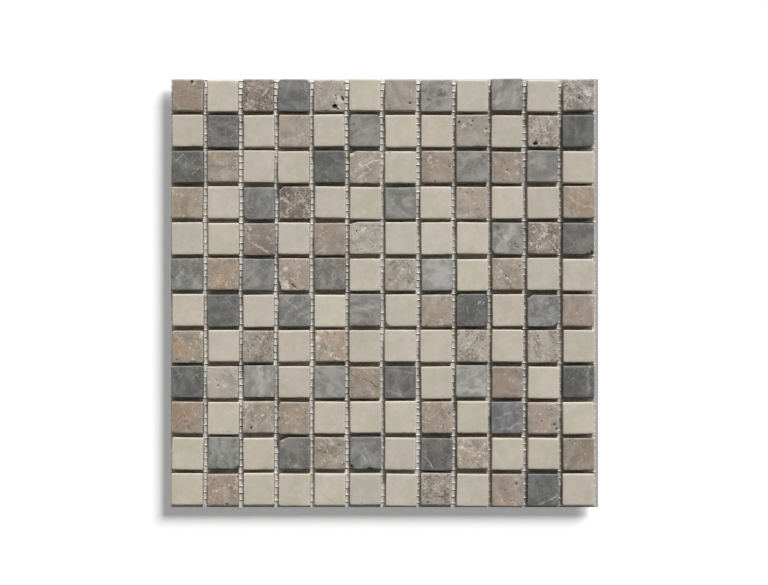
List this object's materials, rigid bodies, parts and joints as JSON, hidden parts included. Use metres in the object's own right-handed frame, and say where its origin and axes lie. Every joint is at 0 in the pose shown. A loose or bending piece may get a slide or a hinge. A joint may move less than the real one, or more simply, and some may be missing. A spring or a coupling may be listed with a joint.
{
  "type": "mosaic tile sheet",
  "caption": "Square mosaic sheet of small honed marble and travertine chips, bonded face up with open joints on a backing net, ready to be laid and grouted.",
  "frame": {"origin": "middle of the net's underside, on the surface that the sheet lies on", "axes": "+X to the sheet's right and +Y to its top edge, seen from the face; +Z out of the face"},
  "size_m": [0.3048, 0.3072, 0.0086],
  "materials": {
    "cream_marble": "satin",
    "light_grey_marble": "satin",
    "grey_marble": "satin",
    "dark_grey_marble": "satin",
    "tan_travertine": "matte",
    "porous_travertine": "matte",
    "mottled_travertine": "matte",
    "fibreglass_net": "satin"
  },
  "bodies": {
    "root": {"net_warp_threads": "fibreglass_net", "net_weft_threads": "fibreglass_net", "row_01_cream_marble": "cream_marble", "row_01_grey_marble": "grey_marble", "row_01_light_grey_marble": "light_grey_marble", "row_01_mottled_travertine": "mottled_travertine", "row_01_porous_travertine": "porous_travertine", "row_01_tan_travertine": "tan_travertine", "row_02_cream_marble": "cream_marble", "row_02_dark_grey_marble": "dark_grey_marble", "row_02_grey_marble": "grey_marble", "row_02_light_grey_marble": "light_grey_marble", "row_02_porous_travertine": "porous_travertine", "row_02_tan_travertine": "tan_travertine", "row_03_cream_marble": "cream_marble", "row_03_dark_grey_marble": "dark_grey_marble", "row_03_light_grey_marble": "light_grey_marble", "row_03_tan_travertine": "tan_travertine", "row_04_cream_marble": "cream_marble", "row_04_grey_marble": "grey_marble", "row_04_mottled_travertine": "mottled_travertine", "row_04_tan_travertine": "tan_travertine", "row_05_cream_marble": "cream_marble", "row_05_grey_marble": "grey_marble", "row_05_light_grey_marble": "light_grey_marble", "row_05_mottled_travertine": "mottled_travertine", "row_05_porous_travertine": "porous_travertine", "row_05_tan_travertine": "tan_travertine", "row_06_cream_marble": "cream_marble", "row_06_grey_marble": "grey_marble", "row_06_light_grey_marble": "light_grey_marble", "row_06_porous_travertine": "porous_travertine", "row_06_tan_travertine": "tan_travertine", "row_07_cream_marble": "cream_marble", "row_07_dark_grey_marble": "dark_grey_marble", "row_07_grey_marble": "grey_marble", "row_07_light_grey_marble": "light_grey_marble", "row_07_tan_travertine": "tan_travertine", "row_08_cream_marble": "cream_marble", "row_08_porous_travertine": "porous_travertine", "row_08_tan_travertine": "tan_travertine", "row_09_cream_marble": "cream_marble", "row_09_dark_grey_marble": "dark_grey_marble", "row_09_grey_marble": "grey_marble", "row_09_light_grey_marble": "light_grey_marble", "row_09_porous_travertine": "porous_travertine", "row_09_tan_travertine": "tan_travertine", "row_10_cream_marble": "cream_marble", "row_10_grey_marble": "grey_marble", "row_10_tan_travertine": "tan_travertine", "row_11_cream_marble": "cream_marble", "row_11_dark_grey_marble": "dark_grey_marble", "row_11_grey_marble": "grey_marble", "row_11_tan_travertine": "tan_travertine", "row_12_cream_marble": "cream_marble", "row_12_dark_grey_marble": "dark_grey_marble", "row_12_porous_travertine": "porous_travertine", "row_12_tan_travertine": "tan_travertine"}
  },
  "joints": []
}
